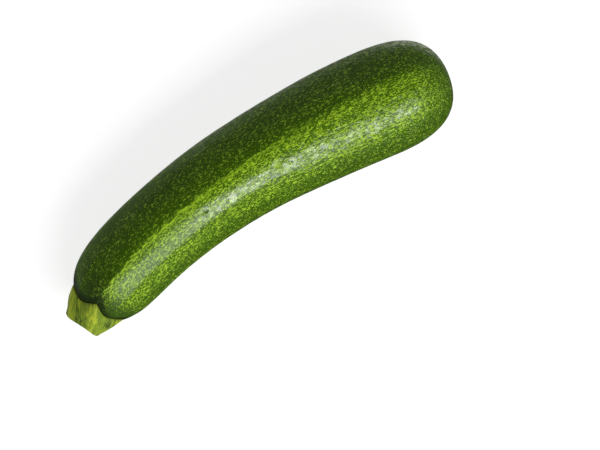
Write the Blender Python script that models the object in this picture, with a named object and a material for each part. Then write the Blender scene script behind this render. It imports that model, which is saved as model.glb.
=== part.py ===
"""Courgette lying on its side: one curved fruit and the ridged stump of its stalk.

Every section is a ring round a level axis, which starts at the stalk's cut end and ends at the blossom
end. "Station" is the distance along that axis, and angles round it start at the top of the fruit and
turn towards -Y, its hollow side. Metres, +Z up, with the origin under the middle of the whole part.
"""

import math

import bmesh
import bpy
import numpy as np
from mathutils import Vector

MM = 0.001

# The axis: its length, and its angle to X at each end. The bend is strongest by the stalk.
AXIS_LENGTH = 201 * MM
STALK_HEADING = math.radians(24)
BLOSSOM_HEADING = math.radians(-12.5)
BEND_FADE = 2.0

# The fruit's radius at its neck, at its belly and halfway between them, before its ends are rounded off.
NECK_RADIUS = 19.9 * MM
WAIST_RADIUS = 21.7 * MM
BELLY_RADIUS = 24.4 * MM
NECK_FROM_STALK_END = 32 * MM
BELLY_FROM_BLOSSOM_END = 33 * MM

# How far the rounding of each end reaches, and how blunt it is: 2 would be round, and more is blunter.
SHOULDER_LENGTH = 40 * MM
SHOULDER_POWER = 3.0
BLOSSOM_LENGTH = 36 * MM
BLOSSOM_POWER = 2.6

# The shallow round scar that the flower left in the middle of the blossom end.
SCAR_RADIUS = 4.8 * MM
SCAR_DEPTH = 0.7 * MM

# Five ribs run the length of the fruit and wind slowly round it, with a fainter one between each two.
# They fade towards the blossom end. Close to the stalk the skin swells between them into lobes.
RIBS = 5
RIB_HEIGHT = 0.45 * MM
RIB_FADE = 0.6
FACET_HEIGHT = 0.13 * MM
RIB_WINDING = math.radians(-11)
LOBE_HEIGHT = 1.2 * MM
LOBE_LENGTH = 8 * MM

# The stalk's stump, as long as its middle: five ridges that flare into the points of a foot, which
# reaches some way past the first of the fruit, further at the points than in the bays between them.
STALK_LENGTH = 7.4 * MM
STALK_RADIUS = 9.2 * MM
STALK_RIDGE = 1.0 * MM
FOOT_REACH = 2.2 * MM
FOOT_POINT = 3.2 * MM
FOOT_EDGE = 0.35 * MM
SEAT_GAP = 0.3 * MM
CUT_BEVEL = 0.6 * MM

# How deep the fruit is pressed flat where it lies.
REST_FLAT = 0.4 * MM

# How finely the rings are spaced.
AROUND = 60
SHOULDER_RINGS = 11
BODY_RINGS = 22
BLOSSOM_RINGS = 12
SCAR_RINGS = 4
STALK_RINGS = 7
SEAT_RINGS = 6
AXIS_STEPS = 400
SHARP_ANGLE = math.radians(40)

SKIN_GREEN = (0.045, 0.115, 0.010, 1.0)
SKIN_ROUGHNESS = 0.35
STALK_GREEN = (0.22, 0.33, 0.055, 1.0)
STALK_ROUGHNESS = 0.6


def clear_scene():
    for obj in list(bpy.data.objects):
        bpy.data.objects.remove(obj)


def heading(station):
    """Angle between the axis and X."""
    left = np.clip(1 - station / AXIS_LENGTH, 0, 1)
    return BLOSSOM_HEADING + (STALK_HEADING - BLOSSOM_HEADING) * left**BEND_FADE


def axis_table():
    """Stations and the axis's X and Y at each, by adding up short straight steps."""
    stations = np.linspace(0, AXIS_LENGTH, AXIS_STEPS)
    middles = (stations[1:] + stations[:-1]) / 2
    steps = np.diff(stations)
    x = np.concatenate([[0], np.cumsum(steps * np.cos(heading(middles)))])
    y = np.concatenate([[0], np.cumsum(steps * np.sin(heading(middles)))])
    return stations, x, y


AXIS = axis_table()


def body_radius(station):
    """Radius of a smooth curve through neck, waist and belly, level beyond the first and the last."""
    neck, belly = NECK_FROM_STALK_END, AXIS_LENGTH - BELLY_FROM_BLOSSOM_END
    at = (neck, (neck + belly) / 2, belly)
    radius = (NECK_RADIUS, WAIST_RADIUS, BELLY_RADIUS)
    waist_slope = (BELLY_RADIUS - NECK_RADIUS) / (belly - neck)
    slopes = (0.0, waist_slope, 0.0)
    if station <= at[0]:
        return radius[0]
    if station >= at[2]:
        return radius[2]
    i = 0 if station < at[1] else 1
    width = at[i + 1] - at[i]
    t = (station - at[i]) / width
    return (
        radius[i] * (1 + 2 * t) * (1 - t) ** 2
        + radius[i + 1] * t * t * (3 - 2 * t)
        + width * slopes[i] * t * (1 - t) ** 2
        - width * slopes[i + 1] * t * t * (1 - t)
    )


def rounding(distance, length, power):
    """Share of the full radius at a distance from a rounded end, as on a superellipse."""
    left = 1 - min(max(distance / length, 0), 1)
    return (1 - left**power) ** (1 / power)


def fruit_radius(station, angle):
    from_stalk = max(station - STALK_LENGTH, 0)
    shoulder = rounding(from_stalk, SHOULDER_LENGTH, SHOULDER_POWER)
    blossom = rounding(AXIS_LENGTH - station, BLOSSOM_LENGTH, BLOSSOM_POWER)
    lobe = LOBE_HEIGHT * math.exp(-((from_stalk / LOBE_LENGTH) ** 2))
    share = station / AXIS_LENGTH
    from_rib = angle - RIB_WINDING * share
    waves = (RIB_HEIGHT * (1 - RIB_FADE * share) - lobe) * math.cos(RIBS * from_rib)
    waves += FACET_HEIGHT * math.cos(2 * RIBS * from_rib)
    return shoulder * blossom * (body_radius(station) + waves)


def place(station, angle, radius):
    """Point at a radius from the axis. The axis stands as high as the fruit's full radius there."""
    x, y = (np.interp(station, AXIS[0], column) for column in AXIS[1:])
    turn = heading(station)
    side = Vector((math.sin(turn), -math.cos(turn), 0))
    up = Vector((0, 0, 1))
    centre = Vector((x, y, body_radius(station)))
    return centre + radius * (math.cos(angle) * up + math.sin(angle) * side)


def angles():
    return [2 * math.pi * i / AROUND for i in range(AROUND)]


def fruit_point(station, angle):
    return place(station, angle, fruit_radius(station, angle))


def lifted_point(station, angle, lift):
    """Point a given distance off the fruit's surface, square to it."""
    small = 0.05 * MM
    turn = small / STALK_RADIUS
    along = fruit_point(station + small, angle) - fruit_point(station - small, angle)
    across = fruit_point(station, angle + turn) - fruit_point(station, angle - turn)
    return fruit_point(station, angle) + lift * across.cross(along).normalized()


def spaced_to_pole(start, length, count):
    """Stations from just inside a rounded end to where it reaches full size, close together at the end."""
    return [start + length * (1 - math.cos(math.pi / 2 * i / count)) for i in range(1, count + 1)]


def loft(name, rings, first_pole, last_pole, material):
    """Closed mesh object through rings of equal count, ending in a point at either end."""
    mesh = bpy.data.meshes.new(name)
    bm = bmesh.new()
    loops = [[bm.verts.new(point) for point in ring] for ring in rings]
    for one, two in zip(loops, loops[1:]):
        for i in range(AROUND):
            j = (i + 1) % AROUND
            bm.faces.new((one[i], one[j], two[j], two[i]))
    for pole, ring in ((first_pole, loops[0]), (last_pole, loops[-1])):
        tip = bm.verts.new(pole)
        for i in range(AROUND):
            bm.faces.new((tip, ring[i], ring[(i + 1) % AROUND]))
    bmesh.ops.recalc_face_normals(bm, faces=bm.faces)
    bm.to_mesh(mesh)
    bm.free()
    mesh.shade_smooth()
    mesh.set_sharp_from_angle(angle=SHARP_ANGLE)
    mesh.materials.append(material)
    obj = bpy.data.objects.new(name, mesh)
    bpy.context.scene.collection.objects.link(obj)
    return obj


def make_material(name, colour, roughness):
    made = bpy.data.materials.new(name)
    made.use_nodes = True
    shader = made.node_tree.nodes["Principled BSDF"]
    shader.inputs["Base Color"].default_value = colour
    shader.inputs["Roughness"].default_value = roughness
    shader.inputs["Metallic"].default_value = 0.0
    made.diffuse_color = colour
    return made


def fruit_stations():
    shoulder = spaced_to_pole(STALK_LENGTH, SHOULDER_LENGTH, SHOULDER_RINGS)
    blossom_start = AXIS_LENGTH - BLOSSOM_LENGTH
    blossom = [
        AXIS_LENGTH - (station - blossom_start)
        for station in reversed(spaced_to_pole(blossom_start, BLOSSOM_LENGTH, BLOSSOM_RINGS))
    ]
    first, last = shoulder[-1], blossom[0]
    step = (last - first) / BODY_RINGS
    return shoulder + [first + step * i for i in range(1, BODY_RINGS)] + blossom


def flatten_underside(obj):
    """Presses a flat patch into the underside, square to Z, on which the fruit lies."""
    bm = bmesh.new()
    bm.from_mesh(obj.data)
    level = min(vert.co.z for vert in bm.verts) + REST_FLAT
    bmesh.ops.bisect_plane(
        bm,
        geom=bm.verts[:] + bm.edges[:] + bm.faces[:],
        dist=0.001 * MM,
        plane_co=(0, 0, level),
        plane_no=(0, 0, -1),
        clear_outer=True,
    )
    bmesh.ops.holes_fill(bm, edges=[edge for edge in bm.edges if edge.is_boundary])
    bmesh.ops.recalc_face_normals(bm, faces=bm.faces)
    bm.to_mesh(obj.data)
    bm.free()


def scar_rings():
    """Rings that dip from the scar's rim towards its middle."""
    rings = []
    for i in range(1, SCAR_RINGS):
        share = 1 - i / SCAR_RINGS
        station = AXIS_LENGTH - SCAR_DEPTH * (1 + math.cos(math.pi * share)) / 2
        rings.append([place(station, angle, share * SCAR_RADIUS) for angle in angles()])
    return rings


def make_fruit():
    rings = [[fruit_point(station, angle) for angle in angles()] for station in fruit_stations()]
    fruit = loft(
        "fruit",
        rings + scar_rings(),
        place(STALK_LENGTH, 0, 0),
        place(AXIS_LENGTH - SCAR_DEPTH, 0, 0),
        make_material("fruit_skin", SKIN_GREEN, SKIN_ROUGHNESS),
    )
    flatten_underside(fruit)
    return fruit


def foot_station(angle):
    """Where the foot ends: points on the ribs, and round bays between them for the fruit's lobes."""
    return STALK_LENGTH + FOOT_REACH + FOOT_POINT * (1 - abs(math.sin(RIBS / 2 * angle)))


def stalk_outline(angle):
    """One line down the stalk's outside, from its cut face to the edge of its foot."""
    foot = foot_station(angle)
    edge = lifted_point(foot, angle, SEAT_GAP + FOOT_EDGE)
    centre = place(foot, 0, 0)
    foot_radius = (edge - centre).length
    top_radius = STALK_RADIUS + STALK_RIDGE * (abs(math.cos(RIBS / 2 * angle)) - 0.5)
    points = [place(0, angle, top_radius - CUT_BEVEL), place(CUT_BEVEL, angle, top_radius)]
    for i in range(1, STALK_RINGS):
        share = i / STALK_RINGS
        station = CUT_BEVEL + (foot - CUT_BEVEL) * share
        points.append(place(station, angle, top_radius + (foot_radius - top_radius) * share))
    return points + [edge]


def seat_outline(angle):
    """One line under the foot, which keeps the seat's gap to the fruit all the way in."""
    foot = foot_station(angle)
    shares = [1 - i / SEAT_RINGS for i in range(SEAT_RINGS)]
    return [
        lifted_point(STALK_LENGTH + (foot - STALK_LENGTH) * share**2, angle, SEAT_GAP)
        for share in shares
    ]


def make_stalk():
    outlines = [stalk_outline(angle) + seat_outline(angle) for angle in angles()]
    return loft(
        "stalk",
        [list(ring) for ring in zip(*outlines)],
        place(0, 0, 0),
        place(STALK_LENGTH - SEAT_GAP, 0, 0),
        make_material("stalk_green", STALK_GREEN, STALK_ROUGHNESS),
    )


def stand_on_origin(objects):
    """Moves the part so that the origin is the middle of its box's underside."""
    corners = [vert.co for obj in objects for vert in obj.data.vertices]
    low = Vector([min(point[k] for point in corners) for k in range(3)])
    high = Vector([max(point[k] for point in corners) for k in range(3)])
    middle = (low + high) / 2
    for obj in objects:
        obj.location = (-middle.x, -middle.y, -low.z)


clear_scene()
stand_on_origin([make_fruit(), make_stalk()])
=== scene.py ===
"""A whole courgette lying on a pale table: the looks.

The fruit's waxy skin and the cut stump of its stalk are fine meshes that stand for the two solids of
the frame. Both are made of rings round one bent axis. "Station" is the distance along that axis from
the stalk's cut end, and angles round it start at the top and turn towards the hollow side (-Y).
"""

import math

import bmesh
import bpy
import numpy as np
from bpy.props import FloatProperty, FloatVectorProperty, IntProperty, PointerProperty
from bpy.types import Operator, Panel, PropertyGroup
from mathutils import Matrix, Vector, noise


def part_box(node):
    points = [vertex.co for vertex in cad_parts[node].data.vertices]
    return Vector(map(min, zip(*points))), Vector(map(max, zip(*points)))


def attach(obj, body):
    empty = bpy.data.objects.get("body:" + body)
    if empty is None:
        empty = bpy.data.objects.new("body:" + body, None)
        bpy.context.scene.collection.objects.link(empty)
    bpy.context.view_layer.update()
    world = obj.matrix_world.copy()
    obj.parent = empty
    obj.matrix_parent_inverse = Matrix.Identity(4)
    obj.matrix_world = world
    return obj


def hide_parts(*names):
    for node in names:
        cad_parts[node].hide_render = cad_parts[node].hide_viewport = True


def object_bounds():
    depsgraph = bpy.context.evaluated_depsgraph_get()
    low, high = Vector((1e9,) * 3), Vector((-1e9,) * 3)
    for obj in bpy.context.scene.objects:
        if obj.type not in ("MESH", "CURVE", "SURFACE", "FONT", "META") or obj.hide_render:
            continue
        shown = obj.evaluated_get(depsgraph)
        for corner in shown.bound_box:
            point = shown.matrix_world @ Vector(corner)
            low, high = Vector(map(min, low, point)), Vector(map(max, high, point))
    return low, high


bl_info = {
    "name": "Courgette",
    "version": (1, 0, 0),
    "blender": (4, 5, 0),
    "location": "3D View > Sidebar > Courgette",
    "description": "Builds a whole courgette with its stalk, on a pale table under a soft light",
    "category": "Object",
}

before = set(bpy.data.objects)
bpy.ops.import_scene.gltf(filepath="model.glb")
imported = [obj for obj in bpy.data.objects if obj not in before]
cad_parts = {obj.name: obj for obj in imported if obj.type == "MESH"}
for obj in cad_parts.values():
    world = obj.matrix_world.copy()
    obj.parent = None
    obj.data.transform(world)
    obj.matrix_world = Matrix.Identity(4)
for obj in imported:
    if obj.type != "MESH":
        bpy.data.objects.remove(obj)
CAD_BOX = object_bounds()

MM = 0.001

# The axis: its length, and its angle to X at each end. The bend is strongest by the stalk.
AXIS_LENGTH = 201 * MM
STALK_HEADING = math.radians(24)
BLOSSOM_HEADING = math.radians(-12.5)
BEND_FADE = 2.0
AXIS_STEPS = 400

# The fruit's radius at its neck, at its belly and halfway between them, before its ends are rounded off.
NECK_RADIUS = 19.9 * MM
WAIST_RADIUS = 21.7 * MM
BELLY_RADIUS = 24.4 * MM
NECK_FROM_STALK_END = 32 * MM
BELLY_FROM_BLOSSOM_END = 33 * MM
SHOULDER_LENGTH = 40 * MM
SHOULDER_POWER = 3.0
BLOSSOM_LENGTH = 36 * MM
BLOSSOM_POWER = 2.6
REST_FLAT = 0.4 * MM

# Five ribs, with a fainter one between each two, and the lobes close to the stalk.
RIBS = 5
RIB_HEIGHT = 0.45 * MM
RIB_FADE = 0.6
FACET_FADE = 0.45
RIB_WINDING = math.radians(-11)
LOBE_HEIGHT = 1.2 * MM
LOBE_LENGTH = 8 * MM

# The stalk's stump and its foot, with points on the ribs and bays between them.
STALK_LENGTH = 7.4 * MM
STALK_RADIUS = 9.2 * MM
FOOT_REACH = 2.2 * MM
FOOT_POINT = 3.2 * MM
FOOT_TURN = math.radians(4)
FOOT_EDGE = 0.3 * MM
SEAT_GAP = 0.02 * MM
CUT_BEVEL = 0.9 * MM

# On its hollow side the stump is leaner and its cut end reaches further out. On the other it is fuller.
LEAN = 1.6 * MM
FULLNESS = 0.4 * MM
CUT_SLANT = 1.5 * MM

# The scar that the flower left on the blossom end.
SCAR_RADIUS = 4.8 * MM
SCAR_DEPTH = 0.7 * MM

# Small healed pits and scratches: station and angle of the middle, half length, half width and depth,
# in millimetres and degrees.
MARKS = (
    (76.6, 17, 1.4, 0.7, 0.30),
    (87.3, 24, 0.7, 0.4, 0.20),
    (88, 16, 4.0, 0.22, 0.06),
    (101, 19, 2.2, 0.22, 0.06),
    (62, -38, 0.8, 0.5, 0.20),
    (150, 42, 0.9, 0.5, 0.20),
    (136, 96, 2.2, 0.4, 0.12),
    (70, 128, 1.2, 0.6, 0.22),
    (118, -104, 1.4, 0.5, 0.20),
    (160, -76, 3.5, 0.3, 0.08),
    (48, -120, 0.9, 0.5, 0.18),
)

# Pale dimples in the skin: station, angle, radius and depth, in millimetres and degrees.
DIMPLES = (
    (114.7, 16.5, 1.7, 0.25),
    (142, 122, 1.8, 0.20),
)


# ---------------------------------------------------------------- the form


def heading(station):
    """Angle between the axis and X."""
    left = np.clip(1 - station / AXIS_LENGTH, 0, 1)
    return BLOSSOM_HEADING + (STALK_HEADING - BLOSSOM_HEADING) * left**BEND_FADE


def axis_table():
    """Stations and the axis's X and Y at each, by adding up short straight steps."""
    stations = np.linspace(0, AXIS_LENGTH, AXIS_STEPS)
    middles = (stations[1:] + stations[:-1]) / 2
    steps = np.diff(stations)
    x = np.concatenate([[0], np.cumsum(steps * np.cos(heading(middles)))])
    y = np.concatenate([[0], np.cumsum(steps * np.sin(heading(middles)))])
    return stations, x, y


AXIS = axis_table()


def body_radius(station):
    """Radius of a smooth curve through neck, waist and belly, level beyond the first and the last."""
    neck, belly = NECK_FROM_STALK_END, AXIS_LENGTH - BELLY_FROM_BLOSSOM_END
    width = (belly - neck) / 2
    rise = (BELLY_RADIUS - NECK_RADIUS) / 2

    def stretch(t, first, last, first_slope, last_slope):
        return (
            first * (1 + 2 * t) * (1 - t) ** 2
            + last * t * t * (3 - 2 * t)
            + first_slope * t * (1 - t) ** 2
            - last_slope * t * t * (1 - t)
        )

    to_waist = stretch(np.clip((station - neck) / width, 0, 1), NECK_RADIUS, WAIST_RADIUS, 0, rise)
    to_belly = stretch(np.clip((station - neck) / width - 1, 0, 1), WAIST_RADIUS, BELLY_RADIUS, rise, 0)
    return np.where(station < neck + width, to_waist, to_belly)


def rounding(distance, length, power):
    """Share of the full radius at a distance from a rounded end, as on a superellipse."""
    left = 1 - np.clip(distance / length, 0, 1)
    return (1 - left**power) ** (1 / power)


def from_rib(station, angle):
    """Angle from the rib on top, following the ribs as they wind round the fruit."""
    return angle - RIB_WINDING * station / AXIS_LENGTH


def fruit_radius(station, angle, facet_height):
    """Distance from the axis to the skin, with rounded ends, ribs, lobes and flats."""
    from_stalk = np.maximum(station - STALK_LENGTH, 0)
    ends = rounding(from_stalk, SHOULDER_LENGTH, SHOULDER_POWER)
    ends = ends * rounding(AXIS_LENGTH - station, BLOSSOM_LENGTH, BLOSSOM_POWER)
    lobe = LOBE_HEIGHT * np.exp(-((from_stalk / LOBE_LENGTH) ** 2))
    turn = RIBS * from_rib(station, angle)
    waves = (RIB_HEIGHT * (1 - RIB_FADE * station / AXIS_LENGTH) - lobe) * np.cos(turn)
    facet = facet_height * np.exp(-((station / (FACET_FADE * AXIS_LENGTH)) ** 2))
    for k in (1, 2, 3):
        waves = waves + facet / k**2 * np.cos(2 * k * turn)
    return ends * (body_radius(station) + waves)


def place(station, angle, radius):
    """Points at a radius from the axis, which stands as high as the fruit's full radius there."""
    station, angle, radius = np.broadcast_arrays(station, angle, radius)
    turn = heading(station)
    side = radius * np.sin(angle)
    x = np.interp(station, AXIS[0], AXIS[1]) + side * np.sin(turn)
    y = np.interp(station, AXIS[0], AXIS[2]) - side * np.cos(turn)
    z = body_radius(station) + radius * np.cos(angle)
    return np.stack([x, y, z], axis=-1)


def foot_station(angle):
    """Where the foot ends: points on the ribs, and round bays between them."""
    return STALK_LENGTH + FOOT_REACH + FOOT_POINT * (1 - np.abs(np.sin(RIBS / 2 * (angle - FOOT_TURN))))


def normals(points):
    """Unit normals of a grid of points, whose second direction closes on itself."""
    along = np.gradient(points, axis=0)
    across = np.roll(points, -1, axis=1) - np.roll(points, 1, axis=1)
    normal = np.cross(across, along)
    return normal / np.maximum(np.linalg.norm(normal, axis=-1, keepdims=True), 1e-12)


def roughen(points, size, octaves, seed):
    """Soft noise from about -1 to 1 at each point, with lumps of about the given size."""
    flat = points.reshape(-1, 3) / size
    values = [noise.fractal(Vector(point) + Vector(seed), 1.0, 2.0, octaves) for point in flat]
    return np.array(values).reshape(points.shape[:-1])


def even_stations(rings, facet_height):
    """Stations from tip to tip that are evenly spaced along the fruit's outline."""
    fine = STALK_LENGTH + (AXIS_LENGTH - STALK_LENGTH) * (1 - np.cos(np.linspace(0, np.pi, 6000))) / 2
    radius = fruit_radius(fine, math.pi / 2, facet_height)
    run = np.concatenate([[0], np.cumsum(np.hypot(np.diff(fine), np.diff(radius)))])
    even = np.linspace(0, run[-1], rings + 2)[1:-1]
    return np.interp(even, run, fine), even


def closed_surface(name, rings, first_pole, last_pole):
    """Mesh object through a grid of rings, ending in a point at either end, with an even UV map."""
    count, around = rings.shape[:2]
    bm = bmesh.new()
    uv = bm.loops.layers.uv.new("OFBake")
    loops = [[bm.verts.new(point) for point in ring] for ring in rings]
    poles = [bm.verts.new(first_pole), bm.verts.new(last_pole)]
    edge = 1 / (count + 1)

    def face(corners, places):
        made = bm.faces.new(corners)
        made.smooth = True
        for loop, spot in zip(made.loops, places):
            loop[uv].uv = spot

    for i in range(around):
        j = (i + 1) % around
        low, high = i / around, (i + 1) / around
        face((poles[0], loops[0][i], loops[0][j]), ((0, (low + high) / 2), (edge, low), (edge, high)))
        for k in range(count - 1):
            u, v = (k + 1) * edge, (k + 2) * edge
            corners = (loops[k][i], loops[k + 1][i], loops[k + 1][j], loops[k][j])
            face(corners, ((u, low), (v, low), (v, high), (u, high)))
        face(
            (poles[1], loops[-1][j], loops[-1][i]),
            ((1, (low + high) / 2), (1 - edge, high), (1 - edge, low)),
        )
    mesh = bpy.data.meshes.new(name)
    bm.to_mesh(mesh)
    bm.free()
    obj = bpy.data.objects.new(name, mesh)
    bpy.context.scene.collection.objects.link(obj)
    return obj


def store(obj, name, grid, first, last):
    """Keeps one number or vector for each point of a closed surface, for its material to read."""
    vector = grid.ndim == 3
    kind, field = ("FLOAT_VECTOR", "vector") if vector else ("FLOAT", "value")
    flat = grid.reshape(-1, 3) if vector else grid.reshape(-1)
    ends = np.array([first, last], dtype=float)
    values = np.concatenate([flat, ends.reshape(-1, 3) if vector else ends])
    attribute = obj.data.attributes.new(name, kind, "POINT")
    attribute.data.foreach_set(field, values.astype(np.float32).ravel())


# ---------------------------------------------------------------- shader maths


def find_socket(sockets, key):
    """A socket by its identifier, or else by its name."""
    for socket in sockets:
        if socket.identifier == key:
            return socket
    return sockets[key]


class Value:
    """A node's output, so that shader maths is written as plain expressions."""

    def __init__(self, shader, socket):
        self.shader = shader
        self.socket = socket

    def maths(self, operation, *others):
        return self.shader.maths(operation, self, *others)

    def __add__(self, other):
        return self.maths("ADD", other)

    def __radd__(self, other):
        return self.maths("ADD", other)

    def __sub__(self, other):
        return self.maths("SUBTRACT", other)

    def __rsub__(self, other):
        return self.shader.maths("SUBTRACT", other, self)

    def __mul__(self, other):
        return self.maths("MULTIPLY", other)

    def __rmul__(self, other):
        return self.maths("MULTIPLY", other)

    def least(self, other):
        return self.maths("MINIMUM", other)

    def most(self, other):
        return self.maths("MAXIMUM", other)

    def step(self, low, high):
        """0 below low, 1 above high and a smooth step between them. Low may be the greater."""
        made = self.shader.node(
            "ShaderNodeMapRange",
            {"interpolation_type": "SMOOTHSTEP"},
            {"Value": self, "From Min": low, "From Max": high},
        )
        return made["Result"]


class Made:
    """A node that was just made, whose outputs are read by name."""

    def __init__(self, shader, node):
        self.shader = shader
        self.node = node

    def __getitem__(self, key):
        return Value(self.shader, find_socket(self.node.outputs, key))


class Shader:
    """The nodes of a material or of the world."""

    def __init__(self, owner, surface):
        owner.use_nodes = True
        self.tree = owner.node_tree
        self.surface = self.tree.nodes[surface]

    def fill(self, node, sockets):
        for key, value in sockets.items():
            socket = node.inputs[key] if isinstance(key, int) else find_socket(node.inputs, key)
            if isinstance(value, Value):
                self.tree.links.new(value.socket, socket)
            else:
                socket.default_value = value

    def node(self, kind, settings, sockets):
        node = self.tree.nodes.new(kind)
        for key, value in settings.items():
            setattr(node, key, value)
        self.fill(node, sockets)
        return Made(self, node)

    def stored(self, name, output="Fac"):
        return self.node("ShaderNodeAttribute", {"attribute_name": name}, {})[output]

    def maths(self, operation, *inputs):
        return self.node("ShaderNodeMath", {"operation": operation}, dict(enumerate(inputs)))["Value"]

    def vector(self, operation, first, second):
        return self.node("ShaderNodeVectorMath", {"operation": operation}, {0: first, 1: second})["Vector"]

    def mix(self, factor, first, second):
        sockets = {"Factor_Float": factor, "A_Color": first, "B_Color": second}
        return self.node("ShaderNodeMix", {"data_type": "RGBA"}, sockets)["Result_Color"]

    def dim(self, colour, factor):
        """A colour times a number."""
        sockets = {0: colour[:3], "Scale": factor}
        return self.node("ShaderNodeVectorMath", {"operation": "SCALE"}, sockets)["Vector"]

    def noise(self, where, scale, detail=2.0, roughness=0.5):
        """Soft noise from 0 to 1, mostly near a half."""
        sockets = {"Vector": where, "Scale": scale, "Detail": detail, "Roughness": roughness}
        return self.node("ShaderNodeTexNoise", {}, sockets)["Fac"]

    def flecks(self, where, scale, smallest, largest, spread, soft):
        """0 between scattered flecks and up to 1 inside them. Each has its own size and strength."""
        cells = self.node("ShaderNodeTexVoronoi", {}, {"Vector": where, "Scale": scale})
        chance = self.node("ShaderNodeSeparateColor", {}, {"Color": cells["Color"]})
        radius = chance["Red"] * (largest - smallest) + smallest + spread
        return (radius - cells["Distance"]).step(0.0, soft) * (chance["Green"] * 0.6 + 0.4)

    def bump(self, height):
        """Relief whose height is in millimetres."""
        return self.node("ShaderNodeBump", {}, {"Distance": MM, "Height": height})["Normal"]


# ---------------------------------------------------------------- the fruit


class SkinPattern:
    """What the parts of the skin's material share: places on the fruit, soft noises and paleness."""

    def __init__(self, shader):
        self.grain = shader.stored("grain", "Vector")
        self.along = shader.stored("along")
        self.past_foot = shader.stored("past_foot")
        self.from_tip = shader.stored("from_tip")

        long_grain = shader.vector("MULTIPLY", self.grain, (0.42, 1.0, 1.0))
        self.cloud = shader.noise(long_grain, 0.09, 2.0)
        self.broad = shader.noise(long_grain, 0.4, 1.0)
        self.mottle = shader.noise(long_grain, 1.4, 1.0, 0.6)
        self.fine = shader.noise(long_grain, 3.0, 1.0, 0.6)

        # Turn round the fruit, counted in ribs from the one on top.
        parts = shader.node("ShaderNodeSeparateXYZ", {}, {"Vector": self.grain})
        turn = parts["Z"].maths("ARCTAN2", parts["Y"]) * (RIBS / (2 * math.pi))
        turn = turn + self.along * self.along * 0.16 - 0.05
        self.turn = turn + (self.mottle - 0.5) * 0.10 + (self.broad - 0.5) * 0.12
        self.on_rib = ((self.turn - 0.03).maths("FRACT") - 0.5).maths("ABSOLUTE") * 2
        # The side that faces the key lamp, where light and shade are painted.
        self.lamp_side = self.turn.step(0.05, 0.35)
        self.to_blossom = self.along.step(0.40, 0.8)
        self.near_foot = self.past_foot.step(14.0, 3.0)
        self.pale = self.paleness()

    def paleness(self):
        """Paler panels: the one facing the key lamp is partly painted light, palest at the rib on top; the
        one opposite, half as pale, is the skin's own.
        """
        turn = self.turn
        lamp_panel = turn.step(-0.07, 0.11) * turn.step(0.92, 0.64)
        lamp_panel = lamp_panel * (1.08 - turn * 0.75 + self.to_blossom * turn * 0.5)
        # Painted shade: the lit panel is fainter close to the stalk's foot.
        lamp_panel = lamp_panel * (self.past_foot.step(1.0, 16.0) * 0.75 + 0.25)
        back = (turn + 2).step(-0.02, 0.07) * (turn + 2).step(0.95, 0.76) * (0.95 - (turn + 2) * 0.6)
        pale = lamp_panel + back * 0.5 + 0.12
        pale = pale * self.from_tip.step(9.0, 34.0) + self.from_tip.step(24.0, 2.0) * 0.15
        return (pale + (self.cloud - 0.5) * 0.4).most(0.0).least(1.0)


def skin_flecks(shader, skin):
    """Flecks: crowded and merging on the paler sides, fewer and smaller on the darker ones."""
    spread = skin.pale * 0.19 - 0.03 + (skin.mottle - 0.5) * 0.18 + (skin.fine - 0.5) * 0.30
    # Fewer flecks close to the stalk's foot darken the skin there: painted shade.
    spread = spread - skin.near_foot * 0.12
    grain_of_dots = shader.vector("MULTIPLY", skin.grain, (0.45, 1.0, 1.0))
    grain_of_dashes = shader.vector("MULTIPLY", skin.grain, (0.22, 1.0, 1.0))
    dots = shader.flecks(grain_of_dots, 2.5, 0.10, 0.58, spread, 0.25)
    dashes = shader.flecks(grain_of_dashes, 1.9, -0.05, 0.50, spread, 0.22)
    # Fewer flecks on the side turned away from the key lamp: painted shade.
    return dots.most(dashes) * (1 - skin.turn.step(-0.62, -0.92) * 0.7)


def rib_lines(shader, skin):
    """A broken pale line on each rib, and pale streaks that run on to the ribs from the stalk's foot."""
    streak_grain = shader.vector("MULTIPLY", skin.grain, (0.18, 1.0, 1.0))
    streaks = shader.noise(streak_grain, 1.3, 2.0, 0.6)
    line = skin.on_rib.step(0.92, 0.97) * (1 - skin.along).step(0.2, 0.7) * streaks.step(0.44, 0.58)
    by_foot = skin.past_foot.step(24.0, 4.0) * skin.on_rib.step(0.3, 0.8)
    line = line.most(by_foot * streaks.step(0.54, 0.62))
    return line * (skin.turn.step(-0.8, -0.6) * skin.turn.step(0.9, 0.7) * 0.75 + 0.25)


def painted_foot_shade(skin):
    """Painted shade, almost black: in the bays of the stalk's foot, and less so on the dark side near it.
    """
    bay = skin.past_foot + (skin.mottle - 0.5) * 3.0 - skin.on_rib.step(0.4, 0.9) * 1.5 + skin.lamp_side * 1.2
    bay = bay.step(5.5, 1.5).most(skin.near_foot * skin.lamp_side * 0.35)
    flank = skin.turn.step(-0.55, -0.25) * skin.turn.step(0.02, -0.06) * skin.past_foot.step(26.0, 6.0)
    return (bay * 0.92).most(flank * 0.55)


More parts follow.
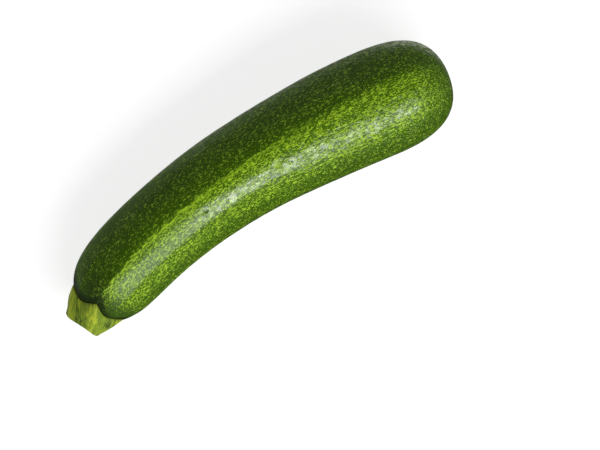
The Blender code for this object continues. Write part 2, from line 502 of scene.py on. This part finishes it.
def skin_material(look):
    """Waxy dark skin under flecks, with two paler panels between ribs (the one facing the key lamp partly
    painted light) and painted shade by the foot.
    """
    material = bpy.data.materials.new("courgette_skin")
    shader = Shader(material, "Principled BSDF")
    skin = SkinPattern(shader)
    flecks = skin_flecks(shader, skin)
    pale_fleck = (*look.fleck, 1)

    # Paler green on the panel facing the key lamp is partly painted light; the panel opposite is the
    # skin's own paler stripe.
    ground = skin.pale + (skin.broad - 0.5) * 0.4
    colour = shader.mix(ground, (*look.dark_skin, 1), (*look.light_skin, 1))
    fleck = shader.mix(skin.pale, (*look.dim_fleck, 1), pale_fleck)
    colour = shader.mix(flecks * look.fleck_strength, colour, fleck)
    colour = shader.mix(rib_lines(shader, skin) * 0.6, colour, pale_fleck)
    # Painted shade in the bays of the stalk's foot and on the dark flank near it.
    colour = shader.mix(painted_foot_shade(skin), colour, (*look.foot_shade_colour, 1))

    # The flower's scar is dry and corky, inside a paler ring.
    ragged = skin.from_tip + (skin.mottle - 0.5) * 2.2
    ring = ragged.step(9.5, 5.5)
    cork = ragged.step(4.9, 4.2)
    colour = shader.mix(ring * (0.15 + flecks * 0.3), colour, pale_fleck)
    cork_tone = shader.noise(skin.grain, 1.6, 3.0, 0.6).step(0.3, 0.7) * ragged.step(4.9, 3.4)
    cork_colour = shader.mix(cork_tone, (0.12, 0.085, 0.035, 1), (0.42, 0.36, 0.20, 1))
    colour = shader.mix(cork, colour, cork_colour)

    # Healed pits and pale dimples.
    colour = shader.mix(shader.stored("pit") * 0.8, colour, (0.018, 0.035, 0.006, 1))
    colour = shader.mix(shader.stored("dimple") * 0.8, colour, (0.32, 0.50, 0.018, 1))

    # Relief: fine grain all over, and low blisters that grow towards the blossom end.
    blisters = shader.noise(skin.grain, 0.42, 1.0)
    relief = blisters * (0.05 + skin.to_blossom * 0.42)
    relief = relief + skin.mottle * 0.035 + skin.fine * 0.012 + flecks * 0.006
    relief = relief + cork * (shader.noise(skin.grain, 1.1, 3.0, 0.7) * 0.5)

    # Wax: a sheen in patches past the first third, and a rougher skin towards both ends.
    wet = shader.noise(skin.grain, 0.40, 2.0, 0.6).step(0.46, 0.60)
    gloss = skin.along.step(0.30, 0.45) * (0.85 - skin.to_blossom * 0.35)
    rough = look.roughness + (1 - skin.along).step(0.48, 0.75) * 0.12 + (skin.fine - 0.5) * 0.2
    rough = rough + flecks * 0.04 + skin.near_foot * 0.15
    rough = rough + skin.to_blossom * (1 - wet) * 0.22 + cork * 0.45
    shader.fill(
        shader.surface,
        {
            "Base Color": colour,
            "Roughness": rough.most(0.12).least(0.95),
            "Normal": shader.bump(relief),
            "IOR": 1.34,
            "Coat Weight": (gloss * (0.1 + wet * 0.9) - cork).most(0.0),
            "Coat Roughness": 0.14,
        },
    )
    return material


def turn_from(angle, degrees):
    """Angle from a direction given in degrees, between half a turn either way."""
    return (angle - math.radians(degrees) + math.pi) % (2 * math.pi) - math.pi


def mark_depths(station, angle, radius):
    """How much of a pit and of a dimple each point of the skin has, and how deep it lies for them."""
    pit = np.zeros_like(station)
    dimple = np.zeros_like(station)
    depth = np.zeros_like(station)
    for at, degrees, half_length, half_width, deep in MARKS:
        across = turn_from(angle, degrees)
        share = ((station / MM - at) / half_length) ** 2 + (across * radius / MM / half_width) ** 2
        amount = np.exp(-share)
        pit = np.maximum(pit, amount)
        depth = depth + deep * MM * amount
    for at, degrees, size, deep in DIMPLES:
        across = turn_from(angle, degrees)
        share = ((station / MM - at) ** 2 + (across * radius / MM) ** 2) / size**2
        amount = np.exp(-share)
        dimple = np.maximum(dimple, amount)
        depth = depth + deep * MM * amount
    return pit, dimple, depth


def fruit_shift(stations, angles, facet_height):
    """How far the form moves so that the fruit's box has its middle where the frame's fruit has it."""
    points = place(stations, angles, fruit_radius(stations, angles, facet_height))
    low, high = points.min(axis=(0, 1)), points.max(axis=(0, 1))
    box_low, box_high = (np.array(corner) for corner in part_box("fruit"))
    shift = (box_low + box_high - low - high) / 2
    shift[2] = -low[2] - REST_FLAT
    return shift


def ring_grid(settings):
    """Stations, angles and distances along the outline of the fruit's rings. The seam lies underneath."""
    stations, run = even_stations(settings.rings, settings.facet_height)
    angles = 2 * math.pi * np.arange(settings.around) / settings.around
    return stations[:, None], angles[None, :] + math.pi, run[:, None]


class FruitSettings(PropertyGroup):
    rings: IntProperty(
        name="Rings", description="Rings from tip to tip", default=360, min=60, max=800
    )
    around: IntProperty(
        name="Points round", description="Points on each ring", default=240, min=40, max=600
    )
    facet_height: FloatProperty(
        name="Facet height",
        description="How far the edges between the skin's ten flats stand out by the stalk",
        default=0.18 * MM,
        subtype="DISTANCE",
        unit="LENGTH",
        precision=5,
    )
    lump_height: FloatProperty(
        name="Lump height",
        description="Height of the skin's wide, shallow lumps",
        default=0.22 * MM,
        subtype="DISTANCE",
        unit="LENGTH",
        precision=5,
    )
    pebble_height: FloatProperty(
        name="Pebble height",
        description="Height of the skin's lumps of a few millimetres",
        default=0.05 * MM,
        subtype="DISTANCE",
        unit="LENGTH",
        precision=5,
    )
    dark_skin: FloatVectorProperty(
        name="Dark skin", description="Green between the flecks on the darker sides", subtype="COLOR",
        default=(0.033, 0.080, 0.001), min=0, max=1,
    )
    light_skin: FloatVectorProperty(
        name="Light skin", description="Green between the flecks on the paler sides", subtype="COLOR",
        default=(0.058, 0.138, 0.002), min=0, max=1,
    )
    dim_fleck: FloatVectorProperty(
        name="Dim flecks", description="Colour of the flecks on the darker sides", subtype="COLOR",
        default=(0.36, 0.58, 0.030), min=0, max=1,
    )
    fleck: FloatVectorProperty(
        name="Flecks", description="Colour of the flecks on the paler sides", subtype="COLOR",
        default=(0.48, 0.74, 0.034), min=0, max=1,
    )
    # Colour of the painted shade by the stalk's foot.
    foot_shade_colour: FloatVectorProperty(
        name="Bays", description="Almost black green beside the stalk's foot", subtype="COLOR",
        default=(0.006, 0.017, 0.002), min=0, max=1,
    )
    fleck_strength: FloatProperty(
        name="Fleck strength", description="How strongly the flecks show", subtype="FACTOR",
        default=0.9, min=0, max=1,
    )
    roughness: FloatProperty(
        name="Roughness", description="Roughness of the wax at mid-length", subtype="FACTOR",
        default=0.20, min=0, max=1,
    )


class COURGETTE_OT_fruit(Operator):
    """Makes the fruit, from the shoulder under the stalk's foot to the flower's scar."""

    bl_idname = "courgette.fruit"
    bl_label = "Fruit"

    def execute(self, context):
        settings = context.scene.courgette.fruit
        station, angle, run = ring_grid(settings)
        shift = fruit_shift(station, angle, settings.facet_height)
        radius = fruit_radius(station, angle, settings.facet_height)
        station, angle, run = (np.broadcast_to(a, radius.shape) for a in (station, angle, run))

        at_scar = np.where(station > AXIS_LENGTH / 2, radius / SCAR_RADIUS, 1)
        dip = SCAR_DEPTH * (1 + np.cos(math.pi * np.clip(at_scar, 0, 1))) / 2
        points = place(station, angle, radius)
        onward = np.stack([np.cos(heading(station)), np.sin(heading(station)), 0 * station], axis=-1)
        points = points - dip[..., None] * onward

        pit, dimple, depth = mark_depths(station, angle, radius)
        stretched = np.stack([run * 0.5, radius * np.cos(angle), radius * np.sin(angle)], axis=-1)
        height = settings.lump_height * roughen(stretched, 14 * MM, 1, (3.1, 0.2, 7.7))
        height = height + settings.pebble_height * roughen(stretched, 2.6 * MM, 2, (9.4, 1.7, 4.2))
        points = points + (height - depth)[..., None] * normals(points) + shift
        points[..., 2] = np.maximum(points[..., 2], 0)  # The underside lies flat.

        first = place(STALK_LENGTH, 0, 0) + shift
        last = place(AXIS_LENGTH, 0, 0) + shift - SCAR_DEPTH * onward[-1, 0]
        fruit = closed_surface("fruit_skin", points, first, last)

        turn = from_rib(station, angle)
        grain = np.stack([run, radius * np.cos(turn), radius * np.sin(turn)], axis=-1) / MM
        total = (run[-1, 0] + run[0, 0]) / MM
        to_tip = np.hypot(AXIS_LENGTH - station, radius) / MM
        past_foot = (station - foot_station(angle)) / MM
        store(fruit, "grain", grain, (0, 0, 0), (total, 0, 0))
        store(fruit, "along", station / AXIS_LENGTH, 0, 1)
        store(fruit, "past_foot", past_foot, -10, 200)
        store(fruit, "from_tip", to_tip, 200, 0)
        store(fruit, "pit", pit, 0, 0)
        store(fruit, "dimple", dimple, 0, 0)
        fruit.data.materials.append(skin_material(settings))
        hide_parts("fruit")
        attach(fruit, "root")
        return {"FINISHED"}


# ---------------------------------------------------------------- the stalk


def stalk_material(look):
    """Fibrous stalk: pale ridges, dark grooves along them, and a dry cut face."""
    material = bpy.data.materials.new("courgette_stalk")
    shader = Shader(material, "Principled BSDF")
    grain = shader.stored("grain", "Vector")
    ridge = shader.stored("ridge")
    cut = shader.stored("cut")
    to_foot = shader.stored("to_foot")

    fibre_grain = shader.vector("MULTIPLY", grain, (0.16, 1.0, 1.0))
    fibres = shader.noise(fibre_grain, 1.1, 3.0, 0.6)
    blotch = shader.noise(grain, 0.22, 2.0)
    fine = shader.noise(grain, 1.8, 2.0, 0.6)

    tone = ridge * 0.52 + (fibres - 0.5) * 1.5 + (blotch - 0.5) * 0.9 + 0.28
    tone = tone.most(0.0).least(1.0)
    skin = shader.mix(tone.step(0.0, 0.55), (*look.groove, 1), (*look.side, 1))
    skin = shader.mix(tone.step(0.5, 1.0), skin, (*look.ridge, 1))
    # Painted shade: the stalk is darker where it meets the fruit.
    skin = shader.mix(to_foot.step(2.2, 0.2) * 0.25, skin, (*look.groove, 1))

    # The cut face is pale and wet at its middle and browned at its rim.
    rings = shader.noise(grain, 0.7, 3.0, 0.6)
    flesh = shader.mix(rings, (0.20, 0.26, 0.07, 1), (0.52, 0.55, 0.27, 1))
    rim = cut.step(0.78, 1.0)
    flesh = shader.mix(rim * 0.75, flesh, (0.10, 0.085, 0.03, 1))
    skin = shader.mix(cut.step(0.06, 0.14), skin, flesh)

    relief = fibres * 0.55 + fine * 0.12
    shader.fill(
        shader.surface,
        {
            "Base Color": skin,
            "Roughness": (0.62 - ridge * 0.12 + (fine - 0.5) * 0.3).most(0.3).least(0.9),
            "Normal": shader.bump(relief),
            "IOR": 1.30,
        },
    )
    return material


class StalkSettings(PropertyGroup):
    around: IntProperty(
        name="Points round", description="Points on each ring", default=240, min=60, max=600
    )
    ridge_height: FloatProperty(
        name="Ridge height",
        description="How far the five ridges stand out at the cut end",
        default=1.0 * MM,
        subtype="DISTANCE",
        unit="LENGTH",
        precision=5,
    )
    twist: FloatProperty(
        name="Twist",
        description="How far the ridges turn round the stalk between its foot and its cut end",
        default=math.radians(26),
        subtype="ANGLE",
    )
    fibre_height: FloatProperty(
        name="Fibre height",
        description="Height of the finer ridges along the stalk",
        default=0.28 * MM,
        subtype="DISTANCE",
        unit="LENGTH",
        precision=5,
    )
    ridge: FloatVectorProperty(
        name="Ridges", description="Yellow-green of the ridges", subtype="COLOR",
        default=(0.43, 0.50, 0.022), min=0, max=1,
    )
    side: FloatVectorProperty(
        name="Sides", description="Green between ridge and groove", subtype="COLOR",
        default=(0.19, 0.28, 0.014), min=0, max=1,
    )
    groove: FloatVectorProperty(
        name="Grooves", description="Dark green of the grooves", subtype="COLOR",
        default=(0.040, 0.070, 0.005), min=0, max=1,
    )


def stalk_rings(settings, angle, facet_height):
    """The stalk's rings from the cut face's middle to under its foot, with what its material reads."""
    foot = foot_station(angle)

    def relief(share):
        """Height of the ridges, and where they are pale, at a share of the way from cut to foot."""
        round_to = angle - FOOT_TURN - settings.twist * (1 - share)
        main = np.abs(np.cos(RIBS / 2 * round_to))
        second = 0.5 + 0.5 * np.cos(2 * RIBS * round_to + 0.5 * np.sin(3 * round_to + 1))
        ring_place = np.stack([np.cos(round_to), np.sin(round_to), 0.15 * share + 0 * angle], axis=-1)
        fibre = roughen(ring_place, 0.16, 2, (2.2, 5.1, 0.4))
        height = settings.ridge_height * (main - 0.5) + settings.fibre_height * (second - 0.5 + fibre)
        return height, 0.55 * main**2 + 0.45 * second, round_to

    small = 0.05 * MM
    side = np.sin(angle)
    lean = FULLNESS * np.maximum(-side, 0) ** 2 - LEAN * np.maximum(side, 0) ** 4

    def lifted(station, lift):
        """Points a given distance off the fruit's surface, square to it."""
        turn = small / STALK_RADIUS

        def at(s, a):
            return place(s, a, fruit_radius(s, a, facet_height))

        along = at(station + small, angle) - at(station - small, angle)
        across = at(station, angle + turn) - at(station, angle - turn)
        normal = np.cross(across, along)
        return at(station, angle) + lift * normal / np.linalg.norm(normal, axis=-1, keepdims=True)

    top_ridges, top_tone, top_turn = relief(0)
    top = STALK_RADIUS + top_ridges + lean
    outward = -np.array([math.cos(STALK_HEADING), math.sin(STALK_HEADING), 0])
    slant = CUT_SLANT * np.maximum(side, 0)[:, None] ** 2 * outward
    edge = lifted(foot, SEAT_GAP + FOOT_EDGE)
    foot_radius = np.linalg.norm(edge - place(foot, 0 * angle, 0 * angle), axis=-1)
    rings, stations, cuts, tones, turns = [], [], [], [], []

    def add(points, station, cut, tone=top_tone, turn=top_turn):
        rings.append(points)
        stations.append(np.broadcast_to(station, angle.shape))
        cuts.append(np.full(angle.shape, cut))
        tones.append(tone)
        turns.append(turn)

    for share in np.linspace(0.08, 0.97, 12):
        hollow = 0.45 * MM * (1 - share**4) + 0.10 * MM * np.sin(9 * share)
        points = place(hollow, angle, (top - CUT_BEVEL) * share)
        add(points + slant * share, hollow, 0.2 + 0.8 * share)
    for turn in np.linspace(0, math.pi / 2, 5):
        station = CUT_BEVEL * (1 - math.cos(turn))
        points = place(station, angle, top - CUT_BEVEL * (1 - math.sin(turn)))
        add(points + slant, station, 0.12 * math.cos(turn))
    flank = 34
    for i in range(1, flank):
        share = i / flank
        station = CUT_BEVEL + (foot - CUT_BEVEL) * share
        height, tone, turn = relief(share)
        flare = (foot_radius - STALK_RADIUS) * share**1.15
        swell = 0.75 * MM * math.sin(math.pi * share)
        radius = STALK_RADIUS + flare + height * (1 - 0.75 * share) + swell + lean * (1 - share) ** 1.5
        add(place(station, angle, radius) + slant * (1 - share) ** 2, station, 0.0, tone, turn)
    foot_tone, foot_turn = relief(1)[1:]
    add(edge, foot, 0.0, foot_tone, foot_turn)
    for share in np.linspace(1, 0.2, 7):
        station = STALK_LENGTH + (foot - STALK_LENGTH) * share**2
        add(lifted(station, SEAT_GAP), station, 0.0, foot_tone, foot_turn)
    return [np.array(grid) for grid in (rings, stations, cuts, tones, turns)], foot


class COURGETTE_OT_stalk(Operator):
    """Makes the stump of the stalk, from its cut face to the five points of its foot."""

    bl_idname = "courgette.stalk"
    bl_label = "Stalk"

    def execute(self, context):
        scene_settings = context.scene.courgette
        settings = scene_settings.stalk
        station, angle, run = ring_grid(scene_settings.fruit)
        shift = fruit_shift(station, angle, scene_settings.fruit.facet_height)
        angle = 2 * math.pi * np.arange(settings.around) / settings.around + math.pi
        grids, foot = stalk_rings(settings, angle, scene_settings.fruit.facet_height)
        rings, stations, cuts, tones, turns = grids
        first = place(0.5 * MM, 0, 0) + shift
        last = place(STALK_LENGTH - SEAT_GAP, 0, 0) + shift
        stalk = closed_surface("stalk_stump", rings + shift, first, last)

        axis_place = place(stations, 0 * stations, 0 * stations)
        radius = np.linalg.norm(rings - axis_place, axis=-1)
        grain = np.stack([stations, radius * np.cos(turns), radius * np.sin(turns)], axis=-1) / MM
        store(stalk, "grain", grain, (0, 0, 0), (STALK_LENGTH / MM, 0, 0))
        store(stalk, "ridge", tones, 0.5, 0.5)
        store(stalk, "cut", cuts, 0.2, 0)
        store(stalk, "to_foot", (foot - stations) / MM, 20, 0)
        stalk.data.materials.append(stalk_material(settings))
        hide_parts("stalk")
        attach(stalk, "root")
        return {"FINISHED"}


# ---------------------------------------------------------------- the stage


def aim(obj, target):
    """Turns a light's face towards a point."""
    obj.rotation_euler = (Vector(target) - obj.location).to_track_quat("-Z", "Y").to_euler()


def soft_box(name, place_at, target, width, height, power):
    """A rectangular light with soft shadows."""
    light = bpy.data.lights.new(name, "AREA")
    light.shape = "RECTANGLE"
    light.size = width
    light.size_y = height
    light.energy = power
    obj = bpy.data.objects.new(name, light)
    obj.location = place_at
    aim(obj, target)
    bpy.context.scene.collection.objects.link(obj)


class StageSettings(PropertyGroup):
    key_power: FloatProperty(
        name="Key power", description="Power of the large soft light", default=6.5, min=0, unit="POWER"
    )
    key_distance: FloatProperty(
        name="Key distance", description="From the courgette to the large soft light",
        default=0.85, min=0.3, unit="LENGTH",
    )
    key_width: FloatProperty(
        name="Key width", description="Width of the large soft light", default=0.80, min=0.01,
        unit="LENGTH",
    )
    key_height: FloatProperty(
        name="Key height", description="Height of the large soft light", default=0.28, min=0.01,
        unit="LENGTH",
    )
    key_turn: FloatProperty(
        name="Key turn", description="Direction of the large soft light round Z, from X",
        default=math.radians(-90), subtype="ANGLE",
    )
    key_rise: FloatProperty(
        name="Key rise", description="Height of the large soft light over the table, as an angle",
        default=math.radians(44), subtype="ANGLE",
    )
    above: FloatVectorProperty(
        name="Room above", description="Light that comes from above the table", subtype="COLOR",
        default=(0.06, 0.06, 0.06), min=0, max=1,
    )
    below: FloatVectorProperty(
        name="Room below", description="What the wax reflects in place of the table", subtype="COLOR",
        default=(0.27, 0.27, 0.25), min=0, max=1,
    )
    table_colour: FloatVectorProperty(
        name="Table", description="Colour of the table", subtype="COLOR",
        default=(0.40, 0.40, 0.40), min=0, max=1,
    )
    table_glow: FloatProperty(
        name="Table glow", description="How much light the table gives off by itself",
        default=0.78, min=0,
    )
    wall_glow: FloatVectorProperty(
        name="Wall glow", description="Colour of the light of the wall, beside the table's",
        subtype="COLOR", default=(0.80, 0.80, 0.80), min=0, max=1,
    )
    camera_distance: FloatProperty(
        name="Camera distance", description="From the lens to the middle of the fruit",
        default=0.63, min=0.2, unit="LENGTH",
    )
    camera_turn: FloatProperty(
        name="Camera turn", description="How far the picture's right turns away from X",
        default=math.radians(-34.9), subtype="ANGLE",
    )
    camera_right: FloatProperty(
        name="Camera right", description="How far the camera stands to the right of the fruit's middle",
        default=22.2 * MM, unit="LENGTH", precision=4,
    )
    camera_down: FloatProperty(
        name="Camera down", description="How far the camera stands below the fruit's middle, as pictured",
        default=18.2 * MM, unit="LENGTH", precision=4,
    )
    lens: FloatProperty(name="Lens", description="Focal length", default=85.0, min=10, unit="CAMERA")


def table_material(look):
    """Matt and pale, giving off a soft light of its own that fades towards the wall."""
    material = bpy.data.materials.new("pale_table")
    shader = Shader(material, "Principled BSDF")
    place_on = shader.node("ShaderNodeTexCoord", {}, {})["Object"]
    far = shader.node("ShaderNodeVectorMath", {"operation": "LENGTH"}, {0: place_on})["Value"]
    glow = shader.mix(far.step(0.35, 1.3), (1, 1, 1, 1), (*look.wall_glow, 1))
    grain = shader.noise(place_on, 900.0, 2.0)
    shader.fill(
        shader.surface,
        {
            "Base Color": (*look.table_colour, 1),
            "Roughness": 0.85 + grain * 0.1,
            "Emission Color": glow,
            "Emission Strength": look.table_glow,
            "Normal": shader.bump(grain * 0.02),
        },
    )
    return material


def pale_room(look):
    """Dim above, paler below on the far side, and brightest low down past the blossom end."""
    world = bpy.data.worlds.new("pale_room")
    shader = Shader(world, "Background")
    direction = shader.node("ShaderNodeTexCoord", {}, {})["Generated"]
    parts = shader.node("ShaderNodeSeparateXYZ", {}, {"Vector": direction})
    behind = parts["X"].step(0.2, 0.5) * parts["X"].step(0.9, 0.6) * parts["Z"].step(-0.3, -0.55)
    behind = behind * parts["Y"].step(0.0, 0.4)
    amount = parts["Y"].step(-0.5, 0.3) * 0.94 + 0.06 + behind * 2.2
    below = shader.dim((*look.below, 1), amount)
    horizon = parts["Z"] + parts["X"].most(0.0) * 0.4
    colour = shader.mix(horizon.step(-0.12, -0.32), (*look.above, 1), below)
    shader.fill(shader.surface, {"Color": colour, "Strength": 1.0})
    return world


def table_mesh():
    """A round table top that curves up into a low wall all the way round."""
    flat, bend, wall = 1.5, 0.5, 0.7
    around, bend_steps = 160, 16
    profile = [(flat * share, 0.0) for share in (0.25, 0.6, 1.0)]
    for i in range(1, bend_steps + 1):
        turn = math.pi / 2 * i / bend_steps
        profile.append((flat + bend * math.sin(turn), bend * (1 - math.cos(turn))))
    profile.append((flat + bend, bend + wall))
    bm = bmesh.new()
    loops = []
    for radius, height in profile:
        turns = [2 * math.pi * i / around for i in range(around)]
        loops.append([bm.verts.new((radius * math.cos(t), radius * math.sin(t), height)) for t in turns])
    bm.faces.new(loops[0])
    for one, two in zip(loops, loops[1:]):
        for i in range(around):
            j = (i + 1) % around
            bm.faces.new((one[i], two[i], two[j], one[j]))
    for face in bm.faces:
        face.smooth = True
    mesh = bpy.data.meshes.new("table")
    bm.to_mesh(mesh)
    bm.free()
    return mesh


class COURGETTE_OT_stage(Operator):
    """Makes the table, the lights, the pale room and the camera."""

    bl_idname = "courgette.stage"
    bl_label = "Stage"

    def execute(self, context):
        look = context.scene.courgette.stage
        low, high = (Vector(corner) for corner in CAD_BOX)
        middle = (low + high) / 2

        table = bpy.data.objects.new("table", table_mesh())
        table.data.materials.append(table_material(look))
        context.scene.collection.objects.link(table)
        table.visible_glossy = False

        away = Vector((math.cos(look.key_turn), math.sin(look.key_turn), math.tan(look.key_rise)))
        place_at = middle + away.normalized() * look.key_distance
        soft_box("key", place_at, middle, look.key_width, look.key_height, look.key_power)

        context.scene.world = pale_room(look)

        camera = bpy.data.cameras.new("camera")
        camera.lens = look.lens
        obj = bpy.data.objects.new("camera", camera)
        right = Vector((math.cos(look.camera_turn), math.sin(look.camera_turn), 0))
        up = Vector((-right.y, right.x, 0))
        obj.location = middle + right * look.camera_right - up * look.camera_down
        obj.location.z = middle.z + look.camera_distance
        obj.rotation_euler = (0, 0, look.camera_turn)
        context.scene.collection.objects.link(obj)
        context.scene.camera = obj
        context.scene.view_settings.view_transform = "Standard"
        return {"FINISHED"}


# ---------------------------------------------------------------- the add-on


class CourgetteSettings(PropertyGroup):
    fruit: PointerProperty(type=FruitSettings)
    stalk: PointerProperty(type=StalkSettings)
    stage: PointerProperty(type=StageSettings)


class COURGETTE_PT_panel(Panel):
    """Lists the courgette's pieces and the stage, with what can be changed on each."""

    bl_idname = "COURGETTE_PT_panel"
    bl_label = "Courgette"
    bl_space_type = "VIEW_3D"
    bl_region_type = "UI"
    bl_category = "Courgette"

    def draw(self, context):
        settings = context.scene.courgette
        for name in ("fruit", "stalk", "stage"):
            box = self.layout.box()
            box.operator(f"courgette.{name}")
            group = getattr(settings, name)
            for key in group.__annotations__:
                box.prop(group, key)


CLASSES = (
    FruitSettings,
    StalkSettings,
    StageSettings,
    CourgetteSettings,
    COURGETTE_OT_fruit,
    COURGETTE_OT_stalk,
    COURGETTE_OT_stage,
    COURGETTE_PT_panel,
)


def register():
    for cls in CLASSES:
        bpy.utils.register_class(cls)
    bpy.types.Scene.courgette = PointerProperty(type=CourgetteSettings)


def unregister():
    del bpy.types.Scene.courgette
    for cls in reversed(CLASSES):
        bpy.utils.unregister_class(cls)


def main():
    register()
    bpy.ops.courgette.fruit()
    bpy.ops.courgette.stalk()
    bpy.ops.courgette.stage()
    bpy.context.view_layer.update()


if __name__ == "__main__":
    main()
